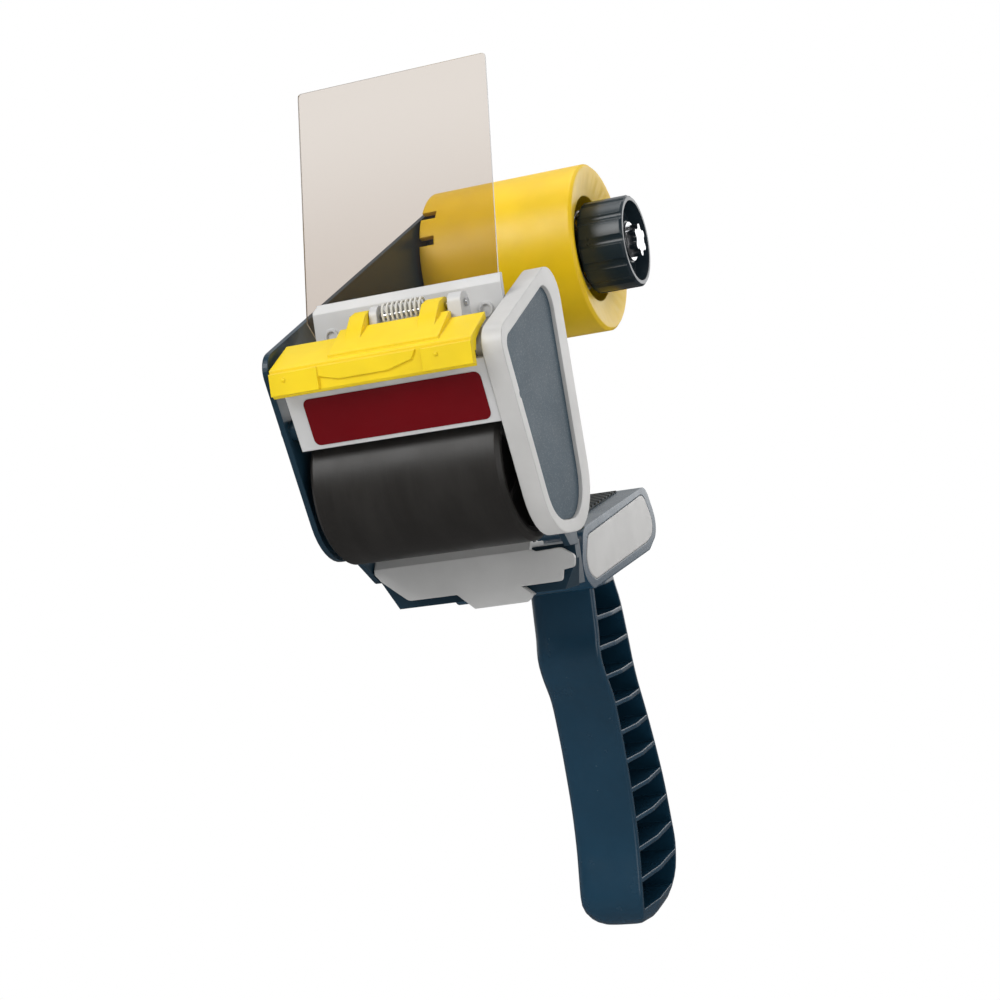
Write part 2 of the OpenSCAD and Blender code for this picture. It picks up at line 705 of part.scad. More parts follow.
module smoothing_plate() {
    y0 = wiper_y;
    t = wiper_t;
    top = -tray_top;
    color(light_grey) placed() difference() {
        union() {
            facing(y0, t) polygon(rounded([
                [-half + 0.6, top - 0.5, 0], [25.5, top - 0.5, 0], [27.5, top - 1.6, 1.5],
                [38.5, top - 1.2, 5], [44, top - 5, 2], [43.2, top - 9.5, 1.5], [38.2, top - 10.2, 0.6],
                [37.4, top - 14.4, 1.5], [20, top - 14.6, 0], [24.8, top - 18.6, 1.5],
                [21.5, top - 21, 1], [-0.8, top - 21.2, 1], [-7.8, top - 14.8, 1],
                [-29, top - 14.8, 4], [-40, top - 5.8, 2], [-half + 0.4, top - 2.4, 1]], 4));
            slab(-half + 0.6, 25.5 + half - 0.6) polygon([[y0, top - 0.6], [y0 + t, top - 1.4],
                [y0 + 4.6, top + 0.6], [y0 + 4.6, top], [rivet_y + 5, top],
                [rivet_y + 5, top + t], [y0 + 6, top + t], [y0 + 3.4, top + t + 0.9], [y0 + 2.6, top + t + 0.9]]);
            facing(y0 + t, 2.4) polygon([[20.6, top - 14.9], [24.4, top - 18.4], [22.4, top - 19.2],
                [18.8, top - 16]]);
        }
        for (x = rivet_x) translate([x, rivet_y, top - 1]) cylinder(h = t + 2, r = rivet_r);
    }
}

module plate_rivets() {
    top = -tray_top;
    color(steel) placed() for (x = rivet_x) translate([x, rivet_y, 0]) {
        translate([0, 0, top - tray_wall - 0.8]) cylinder(h = 0.8, r = rivet_r + 0.9);
        translate([0, 0, top - tray_wall]) cylinder(h = tray_wall + wiper_t, r = rivet_r);
        translate([0, 0, top + wiper_t]) cylinder(h = 1, r = rivet_r + 1.2);
    }
}

// ---- Hub ----

funnel = 3.6;
clip_angles = [60, 180, 300];

module hub_drum() {
    bore = sleeve_r + run_fit;
    color(yellow) placed() difference() {
        union() {
            turned(hub_y, hub_z) polygon([
                [hub_r - hub_wall, hub_x], [hub_r, hub_x], [hub_r, hub_end - 1.2],
                [hub_r - 1.2, hub_end], [hub_r - 2, hub_end], [mouth_r, hub_end - funnel],
                [mouth_r, web_x + web_t], [bore, web_x + web_t], [bore, hub_x + 1],
                [bore + 2.6, hub_x + 1], [bore + 2.6, web_x], [mouth_r + 2, web_x],
                [mouth_r + 2, hub_end - funnel - 2], [hub_r - hub_wall, hub_end - 5]]);
            translate([0, hub_y, hub_z]) for (a = [30 : 60 : 330]) rotate([a, 0, 0])
                translate([hub_x + 8, -0.9, bore + 1]) cube([web_x - hub_x - 7, 1.8, hub_r - hub_wall - bore]);
        }
        translate([0, hub_y, hub_z]) for (a = clip_angles) rotate([a, 0, 0])
            for (s = [-1, 1]) translate([hub_x - 1, s * 7 - 2.2, hub_r - hub_wall - 2]) cube([8, 4.4, 8]);
    }
}

module hub_sleeve() {
    color(white) placed() difference() {
        bar(-half + 1.2 + 0.02, web_x + web_t + half - 1.2, sleeve_r, hub_y, hub_z);
        bar(-half, web_x + web_t + half + 2, bolt_r + 0.02, hub_y, hub_z);
    }
}

module hub_bolt() {
    color(steel) placed() {
        bar(-half - plate_t, half + plate_t + knob_end - 2.4, bolt_r, hub_y, hub_z);
        translate([-half - plate_t - 3.6, hub_y, hub_z]) rotate([0, 90, 0])
            cylinder(h = 3.6, r = bolt_r + 3.2, $fn = 6);
    }
}

disc_x = web_x + web_t + 0.1;
cup_x = disc_x + disc_t;
cup_t = 1.2;
spring_mean_r = 17.4;
spring_wire = 1.8;

module brake_disc() {
    color([0.45, 0.36, 0.26]) placed() difference() {
        bar(disc_x, disc_t, mouth_r - 1, hub_y, hub_z);
        bar(disc_x - 1, disc_t + 2, bolt_r + 0.4, hub_y, hub_z);
    }
}

module spring_cup() {
    color(steel) placed() turned(hub_y, hub_z) polygon([
        [bolt_r + 0.4, cup_x], [mouth_r - 1.4, cup_x], [mouth_r - 1.4, cup_x + 3],
        [mouth_r - 2.4, cup_x + 3], [mouth_r - 2.4, cup_x + cup_t], [bolt_r + 0.4, cup_x + cup_t]]);
}

module brake_spring() {
    x0 = cup_x + cup_t + spring_wire / 2 + 0.1;
    x1 = knob_x - spring_wire / 2 - 0.3;
    color(steel) placed() translate([0, hub_y, hub_z])
        coil(spring_mean_r, spring_wire, x0, x1 - x0, 4, per_turn = 20);
}

module brake_knob() {
    r = knob_d / 2;
    dish = 6.5;
    flute_r = 3;
    color(navy) placed() difference() {
        turned(hub_y, hub_z) polygon([
            [bolt_r + run_fit, knob_x - 6], [10, knob_x - 6], [10, knob_x], [r - 0.8, knob_x],
            [r, knob_x + 0.8], [r, knob_end - 1], [r - 1, knob_end], [r - 2.6, knob_end],
            [r - 3.2, knob_end - dish], [10.5, knob_end - dish], [9.5, knob_end - 3.2],
            [bolt_r + run_fit, knob_end - 3.2]]);
        translate([0, hub_y, hub_z]) for (i = [0 : flutes - 1]) rotate([i * 360 / flutes, 0, 0])
            bar(knob_x - 1, knob_len + 2, flute_r, 0, r + flute_r - 1);
    }
}

module star_nut() {
    x = knob_end - 3.2;
    color(steel) placed() difference() {
        union() {
            bar(x, 1, 8.8, hub_y, hub_z);
            bar(x + 0.9, 4.3, 5.4, hub_y, hub_z);
            for (i = [0 : lobes - 1]) translate([0, hub_y, hub_z]) rotate([i * 360 / lobes, 0, 0])
                bar(x + 0.9, 4.3, 1.7, 0, 5.6);
        }
        bar(x - 1, 3.8, bolt_r, hub_y, hub_z);
    }
}

// ---- Grip ----

grip_r = 8;                     // left corners
side_bulge = 1.8;               // bow of the open side
back_rim = 5;                   // depth of the rear wall beside the pockets
loft_steps = 44;
// Front and back of the grip: [height, Y], from the roller axis, bottom up.
grip_front = [[-212, 146], [-210.6, 140.4], [-207, 134.6], [-201, 129.6], [-194, 129.8],
    [-176, 133.2], [-157, 134.4], [-134, 132.8], [-120, 130.8], [-106, 127.6], [-95.6, 121.4],
    [-89, 118.6], [-84, 118.3], [-77, 119.8], [-66, 120.5], [-45, 122]];
grip_back = [[-212, 166], [-210.6, 172.4], [-207, 179.6], [-202.5, 184.9], [-196, 191.4], [-185, 196.2],
    [-175, 195.4], [-155, 192.1], [-138, 187.1], [-119, 179.9], [-105, 173.8], [-94.5, 170.8],
    [-85, 169.2], [-66, 164.8], [-57, 160.1], [-45, 156]];
// Half width of the grip: [height, share of the full width].
grip_half = [[-212, 0.42], [-210.6, 0.66], [-207, 0.86], [-201, 0.97], [-194, 1], [-45, 1]];

// Slope of the station list p at its entry i.
function slope_at(p, i) = let(a = max(i - 1, 0), b = min(i + 1, len(p) - 1))
    (p[b][1] - p[a][1]) / (p[b][0] - p[a][0]);

// Value at the height z of the smooth curve through the stations p.
function along(p, z) = let(
    i = max([for (k = [0 : len(p) - 2]) p[k][0] <= z ? k : 0]),
    h = p[i + 1][0] - p[i][0], t = (z - p[i][0]) / h,
    m0 = slope_at(p, i) * h, m1 = slope_at(p, i + 1) * h)
    (2 * t * t * t - 3 * t * t + 1) * p[i][1] + (t * t * t - 2 * t * t + t) * m0
    + (3 * t * t - 2 * t * t * t) * p[i + 1][1] + (t * t * t - t * t) * m1;

// Cross-section of the grip at the height z.
function grip_outline(z) = let(
    w = along(grip_half, z) * grip_w / 2, f = along(grip_front, z), b = along(grip_back, z),
    r = min(grip_r, w - 1, (b - f) / 2 - 1))
    rounded([[-w, f, r], [w, f, 1.5], [w + side_bulge, f + 0.42 * (b - f), 20],
        [w - 1, b, min(4, r)], [-w, b, r]], 7);

// Cross-section of the space inside the grip, open to the side.
function grip_inside(z) = let(
    w = along(grip_half, z) * grip_w / 2 - grip_wall, f = along(grip_front, z) + grip_wall,
    b = along(grip_back, z) - back_rim, x = grip_w)
    rounded([[-w, f, grip_r - grip_wall], [x, f, 0], [x, b, 0], [-w, b, grip_r - grip_wall]], 7);

// Smooth body through the outlines listed from the bottom up at the heights zs.
module loft(outlines, zs) {
    n = len(outlines[0]);
    last = len(zs) - 1;
    points = [for (i = [0 : last]) for (q = outlines[i]) [q[0], q[1], zs[i]]];
    faces = concat([[for (k = [0 : n - 1]) k]],
        [for (i = [0 : last - 1]) for (k = [0 : n - 1]) let(m = (k + 1) % n)
            [i * n + k, (i + 1) * n + k, (i + 1) * n + m, i * n + m]],
        [[for (k = [n - 1 : -1 : 0]) last * n + k]]);
    polyhedron(points, faces);
}

block_half = block_w / 2;
block_top = -27.6;
block_rise = 0.129;
tongue_top = -tray_top - tray_wall - fit;
tongue_y = rivet_y + 4;
tongue_w = 54;
tongue_h = 10;
tray_screw_x = [-18, 18];
tray_screw_y = tray_y + 22;

module block_outline(m) {
    polygon(rounded([
        [76.5 + m * 5, -29.4 - m * 3.2, 8 - m * 2], [172 - m * 5, -15.6 - m * 3.6, 10 - m * 2],
        [184.5 - m * 5, -36.5 - m * 0.2, 9 - m * 2],
        [166 - m * 3, -45.2 + m * 3.6, 9 - m * 2], [80 + m * 5, -55.6 + m * 3.8, 6],
        [67.5 + m * 5, -48 + m * 1.5, 9 - m * 2]]));
}

pocket_top = -57;
pocket_low = -203;

// Levels of the pockets between the grip's ribs.
module pocket_levels() {
    pitch = (pocket_top - pocket_low) / pockets;
    difference() {
        polygon([[100, pocket_low - 1], [220, pocket_low + 2.5], [220, pocket_top + 2.5], [100, pocket_top - 1]]);
        for (i = [1 : pockets - 1]) let(z = pocket_top - i * pitch)
            polygon([[99, z - rib_t / 2 - 1], [221, z - rib_t / 2 + 2],
                [221, z + rib_t / 2 + 2], [99, z + rib_t / 2 - 1]]);
    }
}

module grip() {
    zs = concat([-212, -211.6, -210.6, -209, -207], [for (i = [1 : loft_steps]) -207 + 162 * i / loft_steps]);
    inside = [for (i = [0 : loft_steps]) pocket_low - 2 + (pocket_top - pocket_low + 6) * i / loft_steps];
    color(navy) placed() difference() {
        union() {
            loft([for (z = zs) grip_outline(z)], zs);
            slab(-block_half, block_w) block_outline(0);
            translate([-tongue_w / 2, tongue_y, tongue_top - tongue_h])
                cube([tongue_w, 74 - tongue_y, tongue_h]);
        }
        intersection() {
            loft([for (z = inside) grip_inside(z)], inside);
            slab(-grip_w, 3 * grip_w) pocket_levels();
        }
        slab(block_half - inset_t, inset_t + 1) block_outline(1);
        thumb_place() translate([0, 0, -1.5]) cube_mid([thumb_w + 2 * fit, thumb_len + 2 * fit, 4]);
        for (x = tray_screw_x) translate([x, tray_screw_y, tongue_top - 8]) cylinder(h = 9, r = screw_d / 2);
    }
}

thumb_len = 62;
thumb_mid = 132;

module thumb_place() {
    translate([0, thumb_mid, block_top + block_rise * (thumb_mid - 85)]) rotate([atan(block_rise), 0, 0]) children();
}

// Box centred in X and Y on its base.
module cube_mid(size) { translate([-size[0] / 2, -size[1] / 2, 0]) cube(size); }

module grip_panel() {
    color(light_grey) placed() slab(block_half - inset_t, inset_t + 0.2) block_outline(1.04);
}

module thumb_rest() {
    pitch = thumb_len / thumb_grooves;
    color([0.05, 0.12, 0.15]) placed() thumb_place() difference() {
        translate([0, 0, -1.5]) cube_mid([thumb_w, thumb_len, 2.9]);
        for (i = [0 : thumb_grooves - 1]) translate([-thumb_w, -thumb_len / 2 + (i + 0.5) * pitch, 2.2])
            rotate([0, 90, 0]) cylinder(h = 2 * thumb_w, r = 1.7, $fn = 24);
    }
}

// Screws from the tray down into the grip's tongue.
module grip_screws() {
    color(steel) placed() for (x = tray_screw_x) translate([x, tray_screw_y, -tray_top]) {
        cylinder(h = screw_head_t, r = screw_head_d / 2);
        translate([0, 0, -9]) cylinder(h = 9, r = screw_d / 2);
    }
}

side_frame();
right_frame();
right_panel();
front_plate();
label();
blade();
bridge();
blade_guard();
guard_pin();
guard_spring();
shield();
shield_clips();
roller_rubber();
roller_core();
roller_bushes();
roller_axle();
smoothing_plate();
plate_rivets();
hub_drum();
hub_sleeve();
hub_bolt();
brake_disc();
brake_spring();
spring_cup();
brake_knob();
star_nut();
grip();
grip_panel();
thumb_rest();
grip_screws();
frame_screws();
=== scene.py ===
"""Hand-held packing-tape dispenser, dressed for a studio view.

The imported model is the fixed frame: its parts keep their shapes and get finishes
here. Five of them are shown as copies of their own meshes with rounded edges.
"""

from __future__ import annotations

import logging
import math
from dataclasses import dataclass, field
from enum import Enum
from typing import Any, Sequence

import bmesh
import bpy
import numpy as np
from mathutils import Matrix, Vector

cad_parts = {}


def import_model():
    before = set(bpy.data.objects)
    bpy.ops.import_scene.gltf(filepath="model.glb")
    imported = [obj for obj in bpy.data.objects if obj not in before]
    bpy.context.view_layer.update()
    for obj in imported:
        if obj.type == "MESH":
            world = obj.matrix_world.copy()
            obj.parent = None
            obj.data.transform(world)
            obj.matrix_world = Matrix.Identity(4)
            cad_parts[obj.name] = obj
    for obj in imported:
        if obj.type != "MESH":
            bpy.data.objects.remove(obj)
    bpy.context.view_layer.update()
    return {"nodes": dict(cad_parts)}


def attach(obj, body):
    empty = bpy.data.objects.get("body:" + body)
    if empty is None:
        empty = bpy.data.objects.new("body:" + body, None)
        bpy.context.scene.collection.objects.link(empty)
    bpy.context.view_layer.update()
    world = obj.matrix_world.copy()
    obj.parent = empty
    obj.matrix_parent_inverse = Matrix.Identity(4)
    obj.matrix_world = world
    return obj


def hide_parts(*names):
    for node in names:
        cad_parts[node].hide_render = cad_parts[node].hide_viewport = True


LOG = logging.getLogger("dispenser")
MM = 0.001

# Place of the roller axis in the frame, from which the head's sizes are measured.
ROLLER_Y = -0.150
ROLLER_Z = 0.138


def head(x: float, y: float, z: float) -> tuple[float, float, float]:
    """Turns millimetres from the roller axis into the frame's metres."""
    return (x * MM, ROLLER_Y + y * MM, ROLLER_Z + z * MM)


def linear(rgb: Sequence[float]) -> tuple[float, float, float, float]:
    """Turns an 8-bit display colour into a linear one with full alpha.

    Args:
        rgb: Red, green and blue from 0 to 255.

    Returns:
        Linear red, green, blue and an alpha of 1.
    """
    c = np.asarray(rgb, float) / 255.0
    out = np.where(c <= 0.04045, c / 12.92, ((c + 0.055) / 1.055) ** 2.4)
    return (float(out[0]), float(out[1]), float(out[2]), 1.0)


def toned(colour: Sequence[float], gain: float, lift: float = 0.0) -> tuple[float, ...]:
    """Makes a linear colour darker or lighter: gain times each channel, plus lift, at most 1.

    Args:
        colour: Linear red, green and blue, and an alpha that is not read.
        gain: Factor of each channel.
        lift: Value added to each channel.

    Returns:
        The new red, green and blue, and an alpha of 1.
    """
    return tuple(min(1.0, c * gain + lift) for c in colour[:3]) + (1.0,)


# --------------------------------------------------------------------------
# Shader expressions
# --------------------------------------------------------------------------

EDGE_SAMPLES = 6
EDGE_GAIN = 6.0  # how fast the edge mask rises with the turn of the rounded normal


class Link:
    """A shader output that can be used in sums and products."""

    def __init__(self, graph: "Graph", socket: Any) -> None:
        """Keeps the graph and the socket.

        Args:
            graph: Graph that the socket belongs to.
            socket: Output socket to wrap.
        """
        self.graph = graph
        self.socket = socket

    def _math(self, operation: str, *values: Any) -> "Link":
        """Adds one Math node and returns its result."""
        return self.graph.node("ShaderNodeMath", {"operation": operation}, dict(enumerate(values)))

    def __add__(self, other: Any) -> "Link":
        """Sum of two values."""
        return self._math("ADD", self, other)

    def __radd__(self, other: Any) -> "Link":
        """Sum with a number on the left."""
        return self._math("ADD", other, self)

    def __sub__(self, other: Any) -> "Link":
        """Difference of two values."""
        return self._math("SUBTRACT", self, other)

    def __rsub__(self, other: Any) -> "Link":
        """Difference with a number on the left."""
        return self._math("SUBTRACT", other, self)

    def __mul__(self, other: Any) -> "Link":
        """Product of two values."""
        return self._math("MULTIPLY", self, other)

    def __rmul__(self, other: Any) -> "Link":
        """Product with a number on the left."""
        return self._math("MULTIPLY", other, self)

    def above(self, level: float, soft: float = 0.05) -> "Link":
        """Mask that rises from 0 to 1 round a level.

        Args:
            level: Middle of the rise.
            soft: Half of the rise's width.

        Returns:
            The mask.
        """
        return self.graph.node(
            "ShaderNodeMapRange",
            {"interpolation_type": "SMOOTHSTEP"},
            {0: self, 1: level - soft, 2: level + soft, 3: 0.0, 4: 1.0},
        )


class Graph:
    """Node tree of one material."""

    def __init__(self, name: str) -> None:
        """Starts an empty material.

        Args:
            name: Name of the material.
        """
        self.material = bpy.data.materials.new(name)
        self.material.use_nodes = True
        self.tree = self.material.node_tree
        self.tree.nodes.clear()

    def node(
        self, kind: str, settings: dict | None = None, inputs: dict | None = None, out: Any = 0
    ) -> Link:
        """Adds one node.

        Args:
            kind: Blender's type name of the node.
            settings: Properties that are set before the sockets.
            inputs: Values or links of its sockets, by name or number.
            out: Output to return, by name or number.

        Returns:
            The chosen output.
        """
        made = self.tree.nodes.new(kind)
        for key, value in (settings or {}).items():
            setattr(made, key, value)
        for key, value in (inputs or {}).items():
            socket = made.inputs[key]
            if isinstance(value, Link):
                self.tree.links.new(value.socket, socket)
            elif value is not None:
                socket.default_value = value
        return Link(self, made.outputs[out])

    def place(self, scale: Sequence[float] = (1.0, 1.0, 1.0)) -> Link:
        """Object coordinates, scaled.

        Args:
            scale: Factor of each axis.

        Returns:
            The coordinates.
        """
        where = self.node("ShaderNodeTexCoord", out="Object")
        return self.node("ShaderNodeMapping", {}, {"Vector": where, "Scale": scale})

    def noise(self, where: Link, scale: float, detail: float = 2.0, roughness: float = 0.5) -> Link:
        """Noise value at a place.

        Args:
            where: Coordinates in metres.
            scale: Cells per metre.
            detail: Number of finer layers.
            roughness: Weight of the finer layers.

        Returns:
            The noise, round a half.
        """
        return self.node(
            "ShaderNodeTexNoise",
            {},
            {"Vector": where, "Scale": scale, "Detail": detail, "Roughness": roughness},
        )

    def blend(self, share: Any, first: Any, second: Any) -> Link:
        """Colour between two colours.

        Args:
            share: Share of the second colour.
            first: First colour or link.
            second: Second colour or link.

        Returns:
            The mixed colour.
        """
        return self.node("ShaderNodeMix", {"data_type": "RGBA"}, {0: share, 6: first, 7: second}, out=2)

    def edges(self, radius: float) -> tuple[Link, Link]:
        """Rounded normal, and a mask of the edges it rounds.

        Args:
            radius: Radius of the rounding in metres.

        Returns:
            The normal and the mask.
        """
        normal = self.node("ShaderNodeBevel", {"samples": EDGE_SAMPLES}, {"Radius": radius})
        flat = self.node("ShaderNodeNewGeometry", out="Normal")
        dot = self.node(
            "ShaderNodeVectorMath", {"operation": "DOT_PRODUCT"}, {0: normal, 1: flat}, out="Value"
        )
        return normal, (1.0 - dot) * EDGE_GAIN

    def bump(self, height: Link, depth: float, normal: Link | None = None) -> Link:
        """Normal that shows a height.

        Args:
            height: Height from 0 to 1.
            depth: Real depth of a height of 1, in metres.
            normal: Normal to start from.

        Returns:
            The bumped normal.
        """
        inputs: dict[str, Any] = {"Strength": 1.0, "Distance": depth, "Height": height}
        if normal is not None:
            inputs["Normal"] = normal
        return self.node("ShaderNodeBump", {}, inputs)

    def surface(self, **inputs: Any) -> bpy.types.Material:
        """Ends the material in a Principled shader.

        Args:
            **inputs: Its sockets, with underscores for spaces.

        Returns:
            The finished material.
        """
        named = {key.replace("_", " "): value for key, value in inputs.items()}
        shader = self.node("ShaderNodeBsdfPrincipled", {}, named)
        self.node_output(shader)
        return self.material

    def node_output(self, shader: Link) -> None:
        """Joins a shader to the material's output."""
        end = self.tree.nodes.new("ShaderNodeOutputMaterial")
        self.tree.links.new(shader.socket, end.inputs["Surface"])


# --------------------------------------------------------------------------
# Finishes
# --------------------------------------------------------------------------


class Grain(Enum):
    """Texture that a mould leaves on plastic."""

    POLISHED = "polished"
    SATIN = "satin"
    FLECKED = "flecked"


# Depths and roundings of the finishes in millimetres.
GRAIN_DEPTH = {Grain.POLISHED: 0.0025, Grain.SATIN: 0.010, Grain.FLECKED: 0.03}
SCRATCH_DEPTH = 0.006
RING_DEPTH = 0.012
WAVE_DEPTH = 0.15
METAL_EDGE = 0.25
RUBBER_EDGE = 0.5

RUB_AND_SHEEN_GAIN = 4.0  # how much of the edge mask a value of 1 would show, as paler edges: partly rubbed plastic, partly painted highlight
FLECKS_PER_METRE = 3000.0
FLECK_SHARE = 0.45  # strength of the pale flecks
PIT_SHARE = 0.5  # strength of the dark flecks
GLOW_REACH = (0.006, 0.004, 0.001)  # metres that red, green and blue scatter inside plastic
GLOW_SCALE = 0.6

FILM_IOR = 1.35
FILM_SHINE = (176, 172, 170)  # display colour of the film's surface
RIM_SHARE = 0.5  # how much of the surface shows at a glancing view, in scuffs and at cut edges
SCUFF_SHARE = 0.03
CUT_SHARE = 0.85


@dataclass(frozen=True)
class Plastic:
    """Moulded plastic.

    Attributes:
        name: Name of the material.
        colour: Display colour, 0 to 255.
        gloss: Roughness.
        grain: Texture of the mould.
        fleck: Display colour of the flecks.
        edge: Rounding of the edges in millimetres.
        wear_and_sheen: Share by which the edges are painted paler, partly as rubbed plastic and partly as
            painted highlight.
        glow: Share of light that scatters inside.
        shine: Level of the reflections, a half for common plastic.
    """

    name: str
    colour: tuple[int, int, int]
    gloss: float = 0.32
    grain: Grain = Grain.SATIN
    fleck: tuple[int, int, int] = (150, 165, 175)
    edge: float = 0.5
    wear_and_sheen: float = 0.10
    glow: float = 0.0
    shine: float = 0.5

    def build(self) -> bpy.types.Material:
        """Builds the material.

        Returns:
            Material with cloudy colour, mould grain, rounded edges, and edges painted paler as rubbed
            plastic and painted highlight.
        """
        g = Graph(self.name)
        where = g.place()
        base = linear(self.colour)
        dark = toned(base, gain=0.90)
        cloud = g.noise(where, scale=42.0, detail=3.0, roughness=0.55)
        colour = g.blend(cloud.above(0.5, soft=0.22), dark, base)
        normal, edge = g.edges(self.edge * MM)
        # Edges painted paler: partly rubbed plastic, partly painted highlight along the rounded edges.
        light = toned(base, gain=1.25, lift=0.03)
        edge_rub_and_sheen = edge * self.wear_and_sheen * RUB_AND_SHEEN_GAIN * g.noise(where, scale=300.0, detail=3.0).above(0.5, soft=0.2)
        colour = g.blend(edge_rub_and_sheen, colour, light)
        fine = g.noise(where, scale=2400.0, detail=2.0)
        rough: Any = self.gloss + (g.noise(where, scale=110.0, detail=4.0, roughness=0.6) - 0.5) * 0.16
        depth = GRAIN_DEPTH[self.grain]
        if self.grain is Grain.FLECKED:
            cell = g.node(
                "ShaderNodeTexVoronoi",
                {"feature": "F1"},
                {"Vector": where, "Scale": FLECKS_PER_METRE},
                out="Color",
            )
            pick = g.node("ShaderNodeSeparateColor", {}, {"Color": cell}, out="Red")
            colour = g.blend(pick.above(0.90, soft=0.03) * FLECK_SHARE, colour, linear(self.fleck))
            colour = g.blend((1.0 - pick).above(0.85, soft=0.05) * PIT_SHARE, colour, dark)
            fine = g.noise(where, scale=1900.0, detail=3.0, roughness=0.7)
        normal = g.bump(fine, depth * MM, normal)
        return g.surface(
            Base_Color=colour,
            Roughness=rough,
            Normal=normal,
            Subsurface_Weight=self.glow,
            Subsurface_Radius=GLOW_REACH,
            Subsurface_Scale=GLOW_SCALE,
            Specular_IOR_Level=self.shine,
        )


@dataclass(frozen=True)
class Metal:
    """Bare or plated metal.

    Attributes:
        name: Name of the material.
        colour: Display colour, 0 to 255.
        gloss: Roughness.
        brushed: Stretch of the scratches along each axis; none when all are 1.
    """

    name: str
    colour: tuple[int, int, int]
    gloss: float = 0.22
    brushed: tuple[float, float, float] = (1.0, 1.0, 1.0)

    def build(self) -> bpy.types.Material:
        """Builds the material.

        Returns:
            Metal with fine scratches, smudges and rounded edges.
        """
        g = Graph(self.name)
        where = g.place(self.brushed)
        scratch = g.noise(where, scale=900.0, detail=4.0, roughness=0.6)
        smudge = g.noise(g.place(), scale=160.0, detail=3.0)
        base = linear(self.colour)
        colour = g.blend(smudge.above(0.5, soft=0.3) * 0.35, base, toned(base, gain=0.72))
        normal, _ = g.edges(METAL_EDGE * MM)
        return g.surface(
            Base_Color=colour,
            Metallic=1.0,
            Roughness=self.gloss + (scratch - 0.5) * 0.25,
            Normal=g.bump(scratch, SCRATCH_DEPTH * MM, normal),
        )


@dataclass(frozen=True)
class Rubber:
    """Ground rubber on a roller, with scuffs that run round it.

    Attributes:
        name: Name of the material.
        colour: Display colour, 0 to 255.
        gloss: Roughness.
    """

    name: str
    colour: tuple[int, int, int]
    gloss: float = 0.42

    def build(self) -> bpy.types.Material:
        """Builds the material.

        Returns:
            Dark rubber with fine rings and pale rubbed patches.
        """
        g = Graph(self.name)
        rings = g.noise(g.place((2600.0, 40.0, 40.0)), scale=1.0, detail=3.0, roughness=0.6)
        patch = g.noise(g.place((90.0, 26.0, 26.0)), scale=1.0, detail=4.0, roughness=0.6)
        base = linear(self.colour)
        pale = toned(base, gain=1.55, lift=0.004)
        colour = g.blend(patch.above(0.52, soft=0.2) * 0.55, base, pale)
        colour = g.blend(rings.above(0.62, soft=0.1) * 0.3, colour, pale)
        normal, _ = g.edges(RUBBER_EDGE * MM)
        return g.surface(
            Base_Color=colour,
            Specular_IOR_Level=0.35,
            Roughness=self.gloss + (patch - 0.5) * 0.25 + (rings - 0.5) * 0.12,
            Normal=g.bump(rings, RING_DEPTH * MM, normal),
        )


@dataclass(frozen=True)
class ClearFilm:
    """Clear flexible sheet, a little warm and cloudy, with bright cut edges.

    Attributes:
        name: Name of the material.
        high: Tint of what is seen through its top, 0 to 255.
        low: Tint of what is seen through its foot, 0 to 255.
        fade: Height over the roller axis of the change of tint, in millimetres.
    """

    name: str
    high: tuple[int, int, int]
    low: tuple[int, int, int]
    fade: float = 105.0

    def build(self) -> bpy.types.Material:
        """Builds the material.

        Returns:
            Film that shows what is behind it, with faint waves, scuffs and pale edges.
        """
        g = Graph(self.name)
        where = g.place()
        wave = g.noise(where, scale=26.0, detail=2.0)
        streak = g.noise(g.place((300.0, 300.0, 2600.0)), scale=1.0, detail=3.0, roughness=0.6)
        scuff = streak.above(0.66, soft=0.06)
        height = g.node("ShaderNodeSeparateXYZ", {}, {"Vector": where}, out="Z")
        foot = 1.0 - height.above(ROLLER_Z + self.fade * MM, soft=0.045)
        high = g.node("ShaderNodeBsdfTransparent", {}, {"Color": linear(self.high)})
        low = g.node("ShaderNodeBsdfTransparent", {}, {"Color": linear(self.low)})
        sheet = g.node("ShaderNodeMixShader", {}, {0: foot, 1: high, 2: low})
        facing = g.node("ShaderNodeTexCoord", out="Normal")
        side = g.node("ShaderNodeSeparateXYZ", {}, {"Vector": facing}, out="X")
        top = g.node("ShaderNodeSeparateXYZ", {}, {"Vector": facing}, out="Z")
        cut = (side * side).above(0.5, soft=0.1) + top.above(0.8, soft=0.05)
        rim = g.node("ShaderNodeFresnel", {}, {"IOR": FILM_IOR})
        gloss = g.node(
            "ShaderNodeBsdfPrincipled",
            {},
            {
                "Base Color": linear(FILM_SHINE),
                "Roughness": 0.16 + scuff * 0.2,
                "Normal": g.bump(wave, WAVE_DEPTH * MM),
            },
        )
        cover = rim * RIM_SHARE + scuff * SCUFF_SHARE + cut * CUT_SHARE
        g.node_output(g.node("ShaderNodeMixShader", {}, {0: cover, 1: sheet, 2: gloss}))
        return g.material


NAVY = Plastic("navy_plastic", (26, 62, 84), gloss=0.25, grain=Grain.POLISHED, edge=0.8, wear_and_sheen=0.07)
KNOB_NAVY = Plastic("knob_plastic", (32, 46, 54), gloss=0.30, edge=0.5, wear_and_sheen=0.10)
FRAME_DARK = Plastic("frame_plastic", (27, 54, 70), gloss=0.34, edge=0.5, wear_and_sheen=0.05, shine=0.35)
LIGHT = Plastic("light_plastic", (208, 207, 205), gloss=0.40, edge=0.7, wear_and_sheen=0.02)
